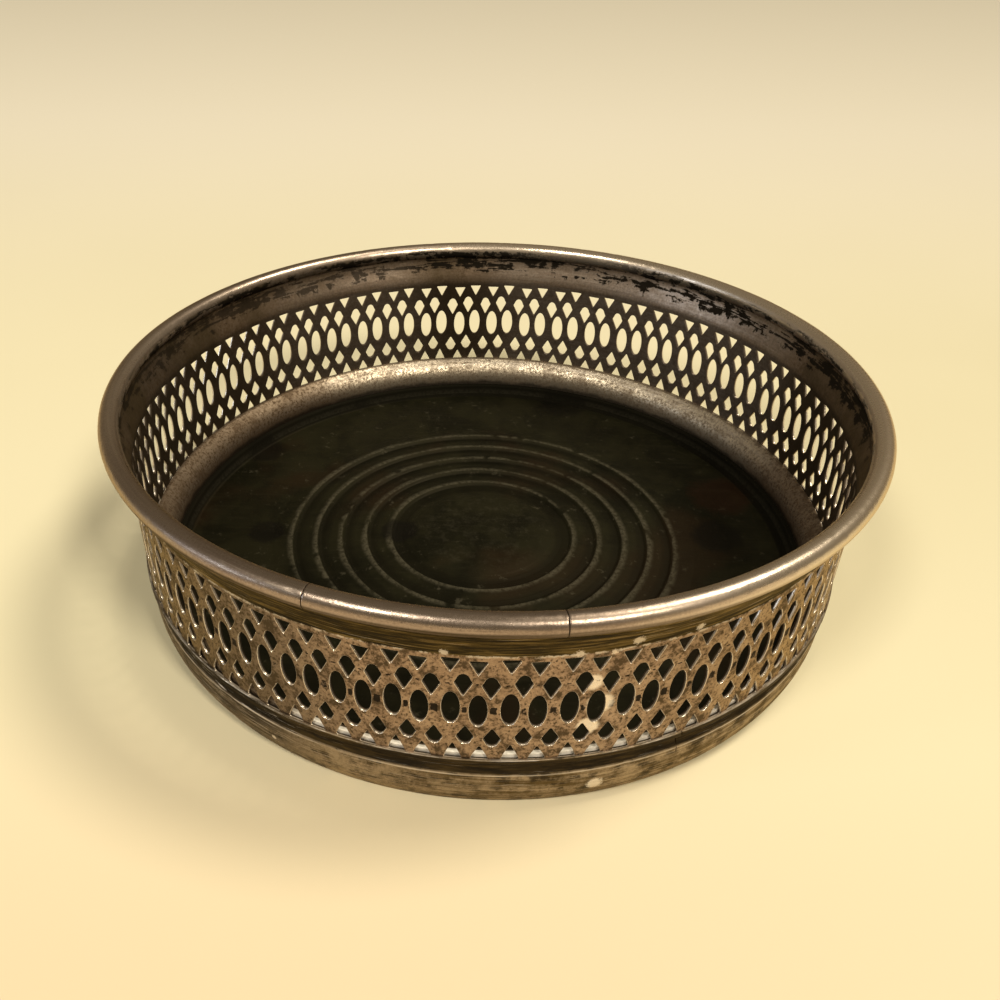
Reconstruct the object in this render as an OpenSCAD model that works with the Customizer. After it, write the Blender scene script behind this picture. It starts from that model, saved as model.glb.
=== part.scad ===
// Bottle coaster: a pierced, silver-plated gallery on a moulded foot, with a round rim
// bead, a turned wood base and a baize pad. Millimetres, +Z up, origin on the table
// under the centre. Angles run anticlockwise from +X; the front of the coaster is -Y.

/* [Overall] */
// Diameter over the rim bead
rim_d = 152; // [148:1:158]
// Height from the table to the top of the rim bead
overall_h = 44.9; // [43.9:0.1:45.9]

/* [Rim bead] */
// Outer diameter of the round bead tube
bead_d = 3.9; // [3.7:0.1:4.1]
// Wall of the bead tube
bead_wall = 0.6; // [0.4:0.1:0.7]
// Angle that the short closing length of bead fills
short_bead_angle = 28.9; // [20:0.1:40]
// Direction of the middle of the short length
short_bead_middle = -95.2; // [-180:0.1:0]
// Gap at each butt joint of the bead
bead_joint_gap = 0.16; // [0.1:0.02:0.3]

/* [Gallery] */
// Thickness of the pierced sheet
sheet_t = 0.7; // [0.6:0.1:0.9]
// Distance that the rim bead stands out beyond the gallery wall
rim_overhang = 3.9; // [3.7:0.1:4.1]
// Distance that the neck flares outwards below the bead
neck_flare = 1.7; // [1.5:0.1:1.7]
// Height where the plain neck begins
neck_z = 34.9; // [34.8:0.1:35.5]
// Number of punched column pairs around the gallery
pair_count = 50; // [44:1:50]
// Angle between the two columns of a pair
column_angle = 3.36; // [3.2:0.02:3.6]
// Drop of the second column of each pair below the first
column_drop = 0.45; // [0:0.05:0.5]
// Direction of the first punched column
first_column = -86; // [-90:0.5:-80]

/* [Piercing] */
// Width of an oval
oval_w = 2.85; // [2.4:0.05:2.9]
// Height of an oval
oval_h = 6.75; // [6.2:0.05:6.9]
// Height of the middle of the ovals
oval_z = 23.9; // [23.7:0.1:24.1]
// Width of the kites above and below the ovals, at their shoulders
kite_w = 2.85; // [2.2:0.05:2.9]
// Width of the edge triangles
triangle_w = 2.9; // [2.2:0.05:2.9]

/* [Foot and inner ring] */
// Height of the foot ring, up to the lip around the gallery
foot_h = 12.8; // [12.7:0.1:13]
// Thickness of the foot ring's metal
foot_t = 0.8; // [0.7:0.1:0.9]
// Width of the flange that the base stands on
flange_w = 5.6; // [4.5:0.1:6]
// Thickness of the inner ring's metal
ring_t = 0.7; // [0.6:0.1:0.8]

/* [Base] */
// Height of the base's floor
floor_z = 4.2; // [4:0.1:4.4]
// Radius of the first turned ridge
ridge_r = 20.4; // [19.5:0.1:20.5]
// Distance between ridges
ridge_pitch = 5.5; // [5.3:0.1:5.6]
// Number of ridges
ridge_count = 5; // [3:1:5]
// Height of a ridge above the floor
ridge_h = 0.7; // [0.4:0.1:1]
// Radius of the raised centre
centre_r = 13.6; // [12:0.1:14]
// Height of the raised centre above the floor
centre_h = 1.1; // [0.5:0.1:1.4]
// Thickness of the baize pad
pad_t = 1.1; // [0.8:0.1:1.1]

/* [Hidden] */
$fn = 180;

// Radii and heights that several parts share
bead_r = rim_d / 2 - bead_d / 2;
bead_z = overall_h - bead_d / 2;
wall_r = rim_d / 2 - rim_overhang;
wall_inner_r = wall_r - sheet_t;
slot_clearance = 0.05;
seat_depth = 1.2;
seat_z = foot_h - seat_depth;
lip_t = 0.4;
arc_steps = 8;

// Inner ring: its top lip, its rolled lower edge and the bulge between them
ring_top_z = 13.2;
ring_foot_r = wall_r - 4.3;
ring_foot_z = 6.8;
ring_lip_h = 0.9;
ring_bulge = 1.1;

// Foot moulding: heights and depths of its cove, ledge and half-round band
cove_z = 10.3;
cove_depth = 1.2;
ledge_z = 8.5;
ledge_depth = 0.15;
band_bulge = 0.75;
band_foot_in = 1.9;
band_foot_z = 0.35;
seam_angle = -62.4;
seam_w = 0.16;
seam_depth = 0.3;

// Base: outline below the inner ring, and the recess for the pad
base_r = wall_r - 2.75;
margin_r = ring_foot_r - 0.8;
margin_z = ring_foot_z;
margin_step = 1.3;
base_bottom_z = foot_t;
recess_r = wall_r - flange_w - 0.3;
recess_z = pad_t + 0.15;
pad_gap = 0.25;
pad_z = 0.15;
ridge_back = 4.4;
centre_slope = 4.2;

// Piercing: outlines in the sheet's plane, x along the wall and y up
oval_points = 16;
dome_start = 20;
dome_steps = 3;
kite_shoulder = 0.3;
upper_kite_z = 29.3;
upper_kite_tip = 2.8;
upper_kite_top = 1.85;
upper_kite_shift = 1.85;
lower_kite_z = 17.7;
lower_kite_tip = 2.45;
lower_kite_base = 1.7;
lower_kite_shift = 2.3;
top_triangle_z = 34.2;
top_triangle_h = 2.8;
top_triangle_shift = -0.15;
bottom_triangle_tip_z = 16.15;
bottom_triangle_shift = 0.4;
punch_depth = 4;

// Points of an ellipse's arc from angle a0 to angle a1, about (0, 0)
function ellipse_arc(rx, ry, a0, a1, steps) =
    [for (i = [0:steps]) let (a = a0 + (a1 - a0) * i / steps) [rx * cos(a), ry * sin(a)]];

// Points on the way from p to q that bulge to the left of the way by b at its middle
function bulged(p, q, b, steps) =
    let (d = q - p, n = [-d[1], d[0]] / norm(d))
    [for (i = [0:steps]) let (s = i / steps) p + d * s + n * b * sin(180 * s)];

// A smooth step from 0 to 1
function smooth(s) = s * s * (3 - 2 * s);

// Radius of the neck's outer face at height z
function neck_r(z) = wall_r + neck_flare * smooth((z - neck_z) / (neck_top_z - neck_z));
neck_top_z = bead_z - bead_d / 2 + 0.2;
neck_points = [for (i = [0:arc_steps]) neck_z + (neck_top_z - neck_z) * i / arc_steps];

module gallery_profile() {
    tip_z = bead_z + 0.1;
    polygon(concat(
        [[wall_r, seat_z]],
        [for (z = neck_points) [neck_r(z), z]],
        [[wall_r + neck_flare, tip_z], [wall_inner_r + neck_flare, tip_z]],
        [for (i = [arc_steps:-1:0]) [neck_r(neck_points[i]) - sheet_t, neck_points[i]]],
        [[wall_inner_r, seat_z]]));
}

module punch(angle, z) {
    rotate([0, 0, angle])
        translate([wall_r - punch_depth / 2, 0, z])
            rotate([90, 0, 90])
                linear_extrude(punch_depth)
                    children();
}

module oval() {
    polygon([for (i = [0:oval_points - 1]) let (a = 360 * i / oval_points)
        [oval_w / 2 * cos(a), oval_h / 2 * sin(a)]]);
}

module kite(tip, round_end, up) {
    dome_r = kite_w / 2 - kite_shoulder;
    dome = ellipse_arc(dome_r, round_end, dome_start, 180 - dome_start, dome_steps);
    mirror([0, up ? 1 : 0])
        polygon(concat([[kite_w / 2, 0]], dome, [[-kite_w / 2, 0], [0, -tip]]));
}

module top_triangle() {
    polygon([[-triangle_w / 2, 0], [0, -top_triangle_h], [triangle_w / 2, 0]]);
}

module bottom_triangle(h) {
    polygon([[-triangle_w / 2, 0], [triangle_w / 2, 0], [0, h]]);
}

function along_wall(x) = x / wall_r * 180 / PI;

module column(angle, drop) {
    punch(angle, oval_z - drop)
        oval();
    punch(angle + along_wall(upper_kite_shift), upper_kite_z - drop)
        kite(upper_kite_tip, upper_kite_top, false);
    punch(angle + along_wall(lower_kite_shift), lower_kite_z - drop)
        kite(lower_kite_tip, lower_kite_base, true);
    punch(angle + along_wall(top_triangle_shift), top_triangle_z - drop)
        top_triangle();
    punch(angle + along_wall(bottom_triangle_shift), foot_h)
        bottom_triangle(bottom_triangle_tip_z - drop - foot_h);
}

module gallery_band() {
    color([0.66, 0.58, 0.46])
        difference() {
            rotate_extrude()
                gallery_profile();
            for (i = [0:pair_count - 1]) {
                column(first_column + 360 / pair_count * i, 0);
                column(first_column + 360 / pair_count * i + column_angle, column_drop);
            }
        }
}

module bead(start, angle) {
    slot_w = sheet_t + 2 * slot_clearance;
    rotate([0, 0, start])
        rotate_extrude(angle = angle)
            difference() {
                translate([bead_r, bead_z])
                    circle(d = bead_d);
                translate([bead_r, bead_z])
                    circle(d = bead_d - 2 * bead_wall);
                translate([wall_inner_r + neck_flare - slot_clearance, bead_z - bead_d])
                    square([slot_w, bead_d]);
            }
}

bead_gap_angle = bead_joint_gap / bead_r * 180 / PI;

module rim_bead_long() {
    color([0.70, 0.64, 0.57])
        bead(short_bead_middle + (short_bead_angle + bead_gap_angle) / 2,
            360 - short_bead_angle - bead_gap_angle);
}

module rim_bead_short() {
    color([0.72, 0.66, 0.60])
        bead(short_bead_middle - (short_bead_angle - bead_gap_angle) / 2,
            short_bead_angle - bead_gap_angle);
}

module inner_ring() {
    top = [wall_inner_r - 0.02, ring_top_z];
    shoulder = [wall_inner_r - ring_t, ring_top_z];
    toe = [ring_foot_r, ring_foot_z];
    front = bulged(shoulder, toe, -ring_bulge, arc_steps);
    back = bulged(toe + [ring_t, 0], [wall_inner_r - 0.02, ring_top_z - ring_lip_h],
        ring_bulge * 0.8, arc_steps);
    color([0.62, 0.54, 0.44])
        rotate_extrude()
            polygon(concat([top], front, back));
}

module foot_profile() {
    ledge_r = wall_r - ledge_depth;
    cove_r = wall_r - cove_depth;
    foot_r = wall_r - band_foot_in;
    cove = bulged([wall_r + lip_t, seat_z + 0.2], [ledge_r, ledge_z + 0.15],
        -cove_depth * 0.75, arc_steps);
    band = bulged([ledge_r, ledge_z - 0.1], [foot_r, band_foot_z], band_bulge, arc_steps);
    inside_band = bulged([foot_r - foot_t * 0.6, foot_t],
        [ledge_r - foot_t - 0.2, ledge_z - 1.2], -band_bulge * 0.9, arc_steps);
    polygon(concat(
        [[wall_r + lip_t, foot_h]],
        cove, band,
        [[foot_r - 0.6, 0], [wall_r - flange_w, 0], [wall_r - flange_w, foot_t]],
        inside_band,
        [[cove_r - foot_t + 0.1, cove_z - 0.5], [cove_r - foot_t + 0.2, cove_z],
            [wall_inner_r, seat_z - foot_t], [wall_inner_r, seat_z], [wall_r, seat_z],
            [wall_r, foot_h]]));
}

module foot_ring() {
    color([0.45, 0.39, 0.31])
        difference() {
            rotate_extrude()
                foot_profile();
            rotate([0, 0, seam_angle])
                translate([wall_r - seam_depth, -seam_w / 2, ledge_z - 1])
                    cube([2, seam_w, seat_z - ledge_z + 1]);
        }
}

module base_disc() {
    last_ridge = ridge_r + ridge_pitch * (ridge_count - 1);
    centre = [[0, floor_z + centre_h], [centre_r, floor_z + centre_h * 0.85],
        [centre_r + centre_slope, floor_z]];
    ridges = [for (i = [0:ridge_count - 1]) let (r = ridge_r + ridge_pitch * i)
        each [[r - 0.7, floor_z], [r - 0.2, floor_z + ridge_h], [r + 0.2, floor_z + ridge_h]]];
    edge = [[last_ridge + ridge_back, floor_z],
        [margin_r - margin_step, floor_z],
        [margin_r - margin_step * 0.4, floor_z + (margin_z - floor_z) * 0.4],
        [margin_r - 0.3, margin_z], [base_r, margin_z], [base_r, base_bottom_z],
        [recess_r, base_bottom_z], [recess_r, recess_z], [0, recess_z]];
    color([0.10, 0.09, 0.06])
        rotate_extrude()
            polygon(concat(centre, ridges, edge));
}

module baize_pad() {
    color([0.10, 0.22, 0.14])
        translate([0, 0, pad_z])
            cylinder(r = recess_r - pad_gap, h = pad_t);
}

gallery_band();
rim_bead_long();
rim_bead_short();
inner_ring();
foot_ring();
base_disc();
baize_pad();
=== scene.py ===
"""A pierced, silver-plated bottle coaster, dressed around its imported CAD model.

Lengths are in millimetres and angles in degrees, unless a comment or a name says otherwise.
Bearings run anticlockwise from +X seen from above, so the front (-Y) is at -90.
"""
import math
import random

import bpy
import numpy as np
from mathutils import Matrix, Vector, noise
from mathutils.geometry import delaunay_2d_cdt


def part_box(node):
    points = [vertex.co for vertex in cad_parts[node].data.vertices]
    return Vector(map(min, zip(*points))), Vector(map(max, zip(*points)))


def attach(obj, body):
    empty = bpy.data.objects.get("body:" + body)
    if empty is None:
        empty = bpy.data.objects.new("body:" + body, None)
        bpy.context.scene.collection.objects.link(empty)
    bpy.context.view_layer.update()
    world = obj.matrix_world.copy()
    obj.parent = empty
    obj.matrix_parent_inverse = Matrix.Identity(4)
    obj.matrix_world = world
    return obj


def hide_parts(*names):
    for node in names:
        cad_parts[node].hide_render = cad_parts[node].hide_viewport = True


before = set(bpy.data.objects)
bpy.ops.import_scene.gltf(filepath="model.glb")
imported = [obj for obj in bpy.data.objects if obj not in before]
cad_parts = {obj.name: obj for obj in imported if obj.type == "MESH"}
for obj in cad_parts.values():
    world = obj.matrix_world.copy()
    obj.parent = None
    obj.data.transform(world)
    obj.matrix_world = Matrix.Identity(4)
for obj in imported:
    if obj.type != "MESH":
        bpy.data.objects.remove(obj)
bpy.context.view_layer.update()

MM = 0.001
BODY = "root"


# ---- sizes from the frame

def box_mm(*nodes):
    """Lowest and highest corners of the CAD nodes together, in millimetres."""
    corners = [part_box(node) for node in nodes]
    low = [min(c[0][i] for c in corners) / MM for i in range(3)]
    high = [max(c[1][i] for c in corners) / MM for i in range(3)]
    return low, high


bead_low, bead_high = box_mm("rim_bead_long", "rim_bead_short")
gallery_low, gallery_high = box_mm("gallery_band")
foot_high = box_mm("foot_ring")[1]
ring_low, ring_high = box_mm("inner_ring")
base_low, base_high = box_mm("base_disc")
pad_low, pad_high = box_mm("baize_pad")

RIM_R = bead_high[1]
BEAD_D = bead_high[2] - bead_low[2]
BEAD_Z = (bead_high[2] + bead_low[2]) / 2
BEAD_R = RIM_R - BEAD_D / 2
FOOT_H = foot_high[2]
LIP_T = 0.4
WALL_R = foot_high[1] - LIP_T
SHEET_T = 0.7
NECK_FLARE = 1.7
NECK_Z = 34.9
NECK_TOP_Z = BEAD_Z - BEAD_D / 2 + 0.2
SEAT_Z = gallery_low[2]
GALLERY_TOP = gallery_high[2]

# Piercing, as in the CAD model
PAIRS = 50
COLUMN_ANGLE = 3.36
COLUMN_DROP = 0.45
FIRST_COLUMN = -86.0
PITCH = 2 * math.pi * WALL_R / PAIRS
COLUMN_STEP = math.radians(COLUMN_ANGLE) * WALL_R
OVAL_W, OVAL_H, OVAL_Z = 2.85, 6.75, 23.9
KITE_W = 2.85
KITE_SHOULDER = 0.3
UPPER_KITE = {"z": 29.3, "tip": 2.8, "round": 1.85, "shift": 1.85}
LOWER_KITE = {"z": 17.7, "tip": 2.45, "round": 1.7, "shift": 2.3}
TRIANGLE_W = 2.9
TOP_TRIANGLE = {"z": 34.2, "h": 2.8, "shift": -0.15}
BOTTOM_TRIANGLE = {"tip_z": 16.15, "shift": 0.4}


# ---- small helpers

def smooth(s):
    s = min(max(s, 0.0), 1.0)
    return s * s * (3 - 2 * s)


def lerp(a, b, s):
    return a + (b - a) * s


def polar(radius, degrees, z):
    a = math.radians(degrees)
    return (radius * math.cos(a), radius * math.sin(a), z)


def bulged(p, q, b, steps):
    """Points on the way from p to q that bulge to the left of the way by b at its middle."""
    dx, dy = q[0] - p[0], q[1] - p[1]
    length = math.hypot(dx, dy)
    nx, ny = -dy / length, dx / length
    points = []
    for i in range(steps + 1):
        s = i / steps
        k = b * math.sin(math.pi * s)
        points.append((p[0] + dx * s + nx * k, p[1] + dy * s + ny * k))
    return points


def added(name, data):
    thing = bpy.data.objects.new(name, data)
    bpy.context.scene.collection.objects.link(thing)
    return thing


def new_piece(name, verts_mm, faces, material, sharp_angle=None):
    """A smooth shaded mesh object. Its vertices are given in millimetres."""
    mesh = bpy.data.meshes.new(name)
    mesh.from_pydata([tuple(c * MM for c in v) for v in verts_mm], [], faces)
    mesh.polygons.foreach_set("use_smooth", [True] * len(mesh.polygons))
    mesh.validate()
    if sharp_angle is not None:
        mesh.set_sharp_from_angle(angle=math.radians(sharp_angle))
    mesh.materials.append(material)
    return added(name, mesh)


def install(piece, node):
    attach(piece, BODY)
    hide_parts(node)


def add_attribute(piece, name, values):
    attribute = piece.data.attributes.new(name, "FLOAT", "POINT")
    attribute.data.foreach_set("value", np.asarray(values, np.float32))


def lathe(name, profile, bearings, material, shape, sharp_angle=35):
    """Turns a profile of (radius, z) about Z, row by row. shape(r, bearing, z) gives the point.
    A profile that starts at radius 0 is closed at both ends by a pole, any other joins up."""
    poles = profile[0][0] == 0
    rows = profile[1:-1] if poles else profile
    count = len(bearings)
    verts = [shape(r, bearing, z) for r, z in rows for bearing in bearings]
    faces = []
    for a in range(len(rows) - poles):
        b = (a + 1) % len(rows)
        for j in range(count):
            k = (j + 1) % count
            faces.append((a * count + j, b * count + j, b * count + k, a * count + k))
    if poles:
        first, last, end = len(verts), len(verts) + 1, (len(rows) - 1) * count
        verts += [shape(0, 0, profile[0][1]), shape(0, 0, profile[-1][1])]
        for j in range(count):
            k = (j + 1) % count
            faces += [(first, j, k), (last, end + k, end + j)]
    return new_piece(name, verts, faces, material, sharp_angle)


def even_bearings(count):
    return [360 * i / count for i in range(count)]


# ---- gallery

HOLE_ROUND = 0.16       # how far a hole's edge is rounded over
ROUND_MIDDLE = 0.29     # where the middle of that rounding lies, as a part of it
# A cell's side edge winds between the holes: (height, place along the wall)
SIDE_PATH = ((11, 7.05), (13.2, 7.05), (14.0, 7.2), (15.0, 7.7), (16.0, 8.3), (16.8, 8.6),
             (17.6, 8.8), (18.6, 8.5), (19.6, 8.1), (20.6, 7.7), (21.7, 7.4), (22.8, 7.3),
             (23.9, 7.3), (25.0, 7.35), (26.0, 7.45), (27.0, 7.6), (28.0, 7.8), (29.1, 7.87),
             (30.2, 7.7), (31.3, 7.1), (32.4, 6.7), (33.6, 6.6), (34.6, 7.0), (35.6, 7.3))
NECK_ROWS = [40.4, 39.6, 38.8, 38.0, 37.2, 36.4, 35.6, 35.15, 34.95, 34.8, 34.6]
SEAT_ROWS = [13.2, 12.6, 12.0]
CELL_STEPS = 12
NECK_LINE = {"z": 34.82, "depth": 0.10, "half_width": 0.14}
NICK_DEPTH = 0.14
NICK_FLOOR = 0.68       # the flat bottom of a nick, as a part of its outline
SHIFT_ALONG, SHIFT_UP = 0.07, 0.13
SHIFT_FROM_Z, FADE_ALONG, FADE_LOW, FADE_HIGH = 12.6, 0.9, 0.9, 0.7
WALL_WAVE, WAVE_SCALE = 0.07, 0.09
KEEP_INSIDE = 0.02
# Rings of a hole's wall, front to back: how far it is grown, as a part of HOLE_ROUND, its depth
# in the sheet, the outward part of its normal, and the hole_edge that the material reads
WALL_RINGS = ((ROUND_MIDDLE, HOLE_ROUND * ROUND_MIDDLE, 0.7, 1.0),
              (0.0, HOLE_ROUND, 0.0, 1.0),
              (0.0, SHEET_T - HOLE_ROUND, 0.0, 0.6),
              (ROUND_MIDDLE, SHEET_T - HOLE_ROUND * ROUND_MIDDLE, -0.7, 0.6))
FACE_HOLE_EDGE = 0.3


def resampled(corners, spacing):
    """A closed outline with points about spacing apart and its corners eased."""
    points = []
    for i, p in enumerate(corners):
        q = corners[(i + 1) % len(corners)]
        steps = max(1, round(math.dist(p, q) / spacing))
        points += [(lerp(p[0], q[0], j / steps), lerp(p[1], q[1], j / steps))
                   for j in range(steps)]
    return [((a[0] + 2 * b[0] + c[0]) / 4, (a[1] + 2 * b[1] + c[1]) / 4)
            for a, b, c in zip(points[-1:] + points[:-1], points, points[1:] + points[:1])]


def arc_points(rx, ry, a0, a1, steps):
    return [(rx * math.cos(math.radians(lerp(a0, a1, i / steps))),
             ry * math.sin(math.radians(lerp(a0, a1, i / steps)))) for i in range(steps + 1)]


def oval_outline():
    return arc_points(OVAL_W / 2, OVAL_H / 2, 0, 360, 32)[:-1]


def kite_outline(kite, flip):
    """A dome standing on the wider, shouldered end of a V."""
    half = KITE_W / 2
    dome = arc_points(half - KITE_SHOULDER, kite["round"], 20, 160, 8)
    points = resampled([(half, 0)] + dome + [(-half, 0), (0, -kite["tip"])], 0.27)
    return [(u, -v) for u, v in reversed(points)] if flip else points


def top_triangle_outline():
    half = TRIANGLE_W / 2
    return resampled([(-half, 0), (0, -TOP_TRIANGLE["h"]), (half, 0)], 0.25)


def bottom_triangle_outline(height):
    half = TRIANGLE_W / 2
    return resampled([(-half, 0), (half, 0), (half * 0.74, height * 0.36), (0, height),
                      (-half * 0.74, height * 0.36)], 0.25)


def moved(points, u, v):
    return [(p[0] + u, p[1] + v) for p in points]


def outward(points):
    """The outward directions at the points of an outline that runs anticlockwise."""
    normals = []
    for (ax, ay), (bx, by) in zip(points[-1:] + points[:-1], points[1:] + points[:1]):
        length = math.hypot(bx - ax, by - ay)
        normals.append(((by - ay) / length, -(bx - ax) / length))
    return normals


def grown(points, distance):
    return [(p[0] + n[0] * distance, p[1] + n[1] * distance)
            for p, n in zip(points, outward(points))]


def column_holes(u, drop):
    foot_z = FOOT_H - 0.3
    return [
        moved(oval_outline(), u, OVAL_Z - drop),
        moved(kite_outline(UPPER_KITE, False), u + UPPER_KITE["shift"], UPPER_KITE["z"] - drop),
        moved(kite_outline(LOWER_KITE, True), u + LOWER_KITE["shift"], LOWER_KITE["z"] - drop),
        moved(top_triangle_outline(), u + TOP_TRIANGLE["shift"], TOP_TRIANGLE["z"] - drop),
        moved(bottom_triangle_outline(BOTTOM_TRIANGLE["tip_z"] - drop - foot_z),
              u + BOTTOM_TRIANGLE["shift"], foot_z),
    ]


def inside(point, polygon):
    x, y = point
    odd = False
    for (x0, y0), (x1, y1) in zip(polygon, polygon[1:] + polygon[:1]):
        if (y0 > y) != (y1 > y) and x < (x1 - x0) * (y - y0) / (y1 - y0) + x0:
            odd = not odd
    return odd


def mark_outline(u, v, w, h, rng):
    """The ragged outline of a shallow nick that the punch left beside a hole."""
    base = [(-w / 2, -h / 2), (w / 2, -h / 2), (w / 2, h / 2), (-w / 2, h / 2)]
    points = resampled(base, 0.32)
    return [(u + p[0] + rng.uniform(-0.05, 0.05), v + p[1] + rng.uniform(-0.05, 0.05))
            for p in points]


class GalleryCell:
    """One punched pair of columns laid flat: u along the wall, v up, both in millimetres."""

    def __init__(self):
        self.points, self.edges = [], []
        self.holes = column_holes(0, 0) + column_holes(COLUMN_STEP, COLUMN_DROP)
        self.loops = []
        self.marks = []
        self.add_boundary()
        for hole in self.holes:
            self.loops.append(self.add_loop(grown(hole, HOLE_ROUND)))
        self.add_marks()
        self.add_grid()
        self.triangulate()

    def add_point(self, u, v):
        self.points.append((u, v))
        return len(self.points) - 1

    def add_loop(self, points):
        ids = [self.add_point(*p) for p in points]
        self.edges += [(ids[i], ids[(i + 1) % len(ids)]) for i in range(len(ids))]
        return ids

    def add_row(self, u0, u1, v):
        """Points between the two sides at one height."""
        return [self.add_point(lerp(u0, u1, i / CELL_STEPS), v) for i in range(1, CELL_STEPS)]

    def add_boundary(self):
        """The left side is the right side moved back by one pitch."""
        heights = [GALLERY_TOP, NECK_TOP_Z] + NECK_ROWS
        heights += [z for z, _ in reversed(SIDE_PATH[:-2]) if z > 13.5] + SEAT_ROWS + [SEAT_Z]
        at, offset = zip(*SIDE_PATH)
        rows = [(float(np.interp(z, at, offset)), z) for z in heights]
        self.right = [self.add_point(u, v) for u, v in rows]
        self.left = [self.add_point(u - PITCH, v) for u, v in rows]
        top_mid, low_mid = (self.add_row(u - PITCH, u, v) for u, v in (rows[0], rows[-1]))
        self.top = [self.left[0]] + top_mid + [self.right[0]]
        self.bottom = [self.left[-1]] + low_mid + [self.right[-1]]
        for chain in (self.right, self.left, self.top, self.bottom):
            self.edges += list(zip(chain[:-1], chain[1:]))
        ring = self.left[::-1] + top_mid + self.right + low_mid[::-1]
        self.outline = [self.points[i] for i in ring]

    def add_marks(self):
        rng = random.Random(3)
        between = [(COLUMN_STEP / 2, OVAL_Z - 0.35, 0.90, 1.7),
                   ((COLUMN_STEP + PITCH) / 2 - 0.09, OVAL_Z - 0.3, 1.3, 1.9)]
        kite_mid = UPPER_KITE["shift"] + COLUMN_STEP / 2
        dashes = [(kite_mid, UPPER_KITE["z"] - 0.2, 0.75, 0.3),
                  (kite_mid - PITCH / 2 + 0.06, UPPER_KITE["z"] - 0.25, 1.05, 0.3)]
        for u, v, w, h in between + dashes:
            outer = mark_outline(u, v, w, h, rng)
            self.add_loop(outer)
            inner = [(lerp(u, p[0], NICK_FLOOR), lerp(v, p[1], NICK_FLOOR)) for p in outer]
            self.marks.append(self.add_loop(inner))

    def add_grid(self):
        u0, u1 = self.points[self.left[0]][0], self.points[self.right[0]][0]
        heights = [self.points[i][1] for i in self.right]
        for v in [z for z in heights if 34.5 < z < GALLERY_TOP] + [SEAT_ROWS[-1]]:
            self.add_row(u0, u1, v)

    def triangulate(self):
        verts = [Vector(p) for p in self.points]
        new_points, _, new_faces, origin = delaunay_2d_cdt(
            verts, self.edges, [], 0, 1e-5, True)[:4]
        where = {}
        for new, old_list in enumerate(origin):
            for old in old_list:
                where[old] = new
        self.flat = np.array([tuple(p) for p in new_points])
        grown_holes = [[self.points[i] for i in loop] for loop in self.loops]
        self.faces = []
        for face in new_faces:
            centre = np.mean([self.flat[i] for i in face], axis=0)
            if inside(centre, self.outline) and not any(inside(centre, h) for h in grown_holes):
                a, b, c = (self.flat[i] for i in face[:3])
                turn = (b[0] - a[0]) * (c[1] - b[1]) - (b[1] - a[1]) * (c[0] - b[0])
                self.faces.append(tuple(face) if turn > 0 else tuple(reversed(face)))
        self.loops = [[where[i] for i in loop] for loop in self.loops]
        self.marks = [[where[i] for i in loop] for loop in self.marks]
        self.left, self.right, self.top, self.bottom = (
            [where[i] for i in chain] for chain in (self.left, self.right, self.top, self.bottom))


def neck_radius_and_slope(z):
    s = np.clip((z - NECK_Z) / (NECK_TOP_Z - NECK_Z), 0, 1)
    return (WALL_R + NECK_FLARE * s * s * (3 - 2 * s),
            NECK_FLARE * 6 * s * (1 - s) / (NECK_TOP_Z - NECK_Z))


def cell_model(cell):
    """A cell's vertices as a table of arrays, its faces, and the back vertex behind each front
    one. A vertex has its place u, v along the wall, its depth in the sheet, its normal (out,
    along u, along v), and the two values that the material reads."""
    table = {key: [] for key in ("u", "v", "depth", "out", "along", "up", "edge", "nick")}

    def add(places, *values):
        start = len(table["u"])
        for key, value in zip(table, (places[:, 0], places[:, 1]) + values):
            table[key] += list(np.broadcast_to(value, len(places)).astype(float))
        return range(start, start + len(places))

    flat = cell.flat
    edge, nick = np.zeros(len(flat)), np.zeros(len(flat))
    for loop in cell.loops:
        edge[loop] = FACE_HOLE_EDGE
    for loop in cell.marks:
        nick[loop] = 1.0
    off_line = (flat[:, 1] - NECK_LINE["z"]) / NECK_LINE["half_width"]
    add(flat, NECK_LINE["depth"] * np.exp(-off_line ** 2), 1, 0, 0, edge, nick)
    back = add(flat, SHEET_T, -1, 0, 0, edge * 0.5, 0)

    faces = [tuple(f) for f in cell.faces]
    faces += [tuple(back[i] for i in reversed(f)) for f in cell.faces]
    for loop, hole in zip(cell.loops, cell.holes):
        base, out = np.array(hole), np.array(outward(hole))
        rings = [loop]
        for grow, depth, face, hole_edge in WALL_RINGS:
            inward = -out * (1 - abs(face) * 0.3)
            rings.append(add(base + out * HOLE_ROUND * grow, depth, face,
                             inward[:, 0], inward[:, 1], hole_edge, 0))
        rings.append([back[i] for i in loop])
        for a, b in zip(rings[:-1], rings[1:]):
            for i in range(len(loop)):
                j = (i + 1) % len(loop)
                faces.append((a[i], a[j], b[j], b[i]))
    for chain, flip in ((cell.top, False), (cell.bottom, True)):
        for i, j in zip(chain[:-1], chain[1:]):
            quad = (i, j, back[j], back[i])
            faces.append(tuple(reversed(quad)) if flip else quad)
    return {key: np.array(values) for key, values in table.items()}, faces, back


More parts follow.
